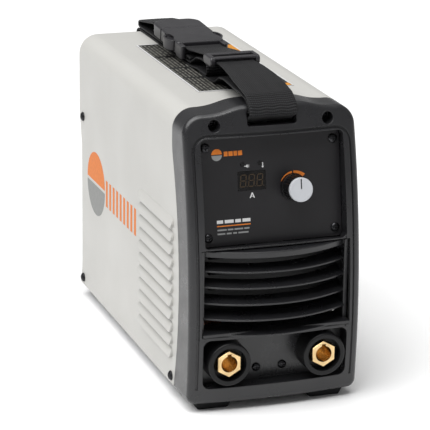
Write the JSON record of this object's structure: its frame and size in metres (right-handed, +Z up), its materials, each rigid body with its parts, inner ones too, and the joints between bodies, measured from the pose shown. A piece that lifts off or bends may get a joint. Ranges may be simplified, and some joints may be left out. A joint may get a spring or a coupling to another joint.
{
  "type": "stick welding inverter",
  "caption": "Portable stick welding power source with a dial panel, two cable sockets, a louvred casing, a rear fan and a carrying strap.",
  "frame": {"origin": "middle of the whole object, on the plane that its four feet stand on", "axes": "+Z up; -Y is the front with the panel and sockets, +Y the rear; +X is to the right when looking at the front"},
  "size_m": [0.1452, 0.3447, 0.257],
  "materials": {
    "aluminium": "extruded, clear anodised",
    "black_plastic": "fine-textured moulded plastic",
    "black_steel": "black oxide",
    "brass": "turned brass",
    "buckle_plastic": "satin black acetal",
    "capacitor_sleeve": "shrink sleeve",
    "circuit_board": "green solder mask",
    "copper": "tinned copper strap",
    "display": "dark unlit segment display",
    "enamel_wire": "enamelled copper winding with tape",
    "fan_plastic": "black plastic",
    "ferrite": "sintered ferrite",
    "foot_rubber": "black rubber",
    "grey_paint": "light grey powder coat",
    "knob_plastic": "satin black",
    "label": "printed film",
    "lamp": "clear epoxy lamp",
    "panel_face": "satin printed front plate",
    "silver_plastic": "silver face",
    "smoked_window": "smoked clear plastic",
    "socket_plastic": "satin black moulding",
    "steel": "zinc-plated steel",
    "webbing": "black polypropylene webbing"
  },
  "bodies": {
    "machine": {"air_baffle": "fan_plastic", "base_tray": "steel", "board_standoffs": "brass", "buckle_plug": "buckle_plastic", "buckle_socket": "buckle_plastic", "busbar_negative": "copper", "busbar_positive": "copper", "capacitors": "capacitor_sleeve", "casing_cover": "grey_paint", "control_board": "circuit_board", "control_panel": "panel_face", "dial_nut": "steel", "dial_sensor": "steel", "display_module": "display", "display_window": "smoked_window", "fan_frame": "fan_plastic", "foot_front_left": "foot_rubber", "foot_front_right": "foot_rubber", "foot_rear_left": "foot_rubber", "foot_rear_right": "foot_rubber", "frame_screws": "black_steel", "front_frame": "black_plastic", "grille": "black_plastic", "heatsink_left": "aluminium", "heatsink_right": "aluminium", "indicator_lamps": "lamp", "inlet_body": "fan_plastic", "inlet_locknut": "fan_plastic", "inlet_nut": "fan_plastic", "main_board": "circuit_board", "output_choke": "ferrite", "panel_screws": "black_steel", "pocket_screws": "black_steel", "rear_cover": "black_plastic", "rectifier": "fan_plastic", "side_screws": "black_steel", "socket_contact_negative": "brass", "socket_contact_positive": "brass", "socket_nuts": "steel", "socket_ring_negative": "socket_plastic", "socket_ring_positive": "socket_plastic", "strap_anchor_front": "steel", "strap_anchor_rear": "steel", "strap_slider": "buckle_plastic", "switch_body": "fan_plastic", "top_label": "label", "transformer_core": "ferrite", "transformer_winding": "enamel_wire", "webbing_front": "webbing", "webbing_rear": "webbing"},
    "dial": {"knob": "knob_plastic", "knob_cap": "silver_plastic"},
    "fan_wheel": {"fan_rotor": "fan_plastic"},
    "switch_rocker": {"rocker": "fan_plastic"},
    "left_arm": {"release_arm_left": "buckle_plastic"},
    "right_arm": {"release_arm_right": "buckle_plastic"}
  },
  "joints": [
    {"name": "dial_turn", "type": "hinge", "parent": "machine", "child": "dial", "pos_m": [0.0185, -0.14203, 0.17221], "axis": [0, -0.9877, 0.1564], "range_deg": [-150, 150]},
    {"name": "fan_spin", "type": "hinge", "parent": "machine", "child": "fan_wheel", "pos_m": [0, 0.1127, 0.081], "axis": [0, 1, 0], "continuous": true},
    {"name": "switch_press", "type": "hinge", "parent": "machine", "child": "switch_rocker", "pos_m": [-0.034, 0.1479, 0.187], "axis": [1, 0, 0], "range_deg": [-16, 0]},
    {"name": "right_arm_squeeze", "type": "hinge", "parent": "machine", "child": "right_arm", "pos_m": [0.0118, 0.07524, 0.24708], "axis": [0, -0.0454, 0.999], "range_deg": [-6, 0], "stiffness_Nm_per_rad": 0.5},
    {"name": "left_arm_squeeze", "type": "hinge", "parent": "machine", "child": "left_arm", "pos_m": [-0.0118, 0.07524, 0.24708], "axis": [0, -0.0454, 0.999], "range_deg": [0, 6], "stiffness_Nm_per_rad": 0.5}
  ],
  "couplings": [
    {"joint": "left_arm_squeeze", "follows": "right_arm_squeeze", "ratio": -1}
  ]
}
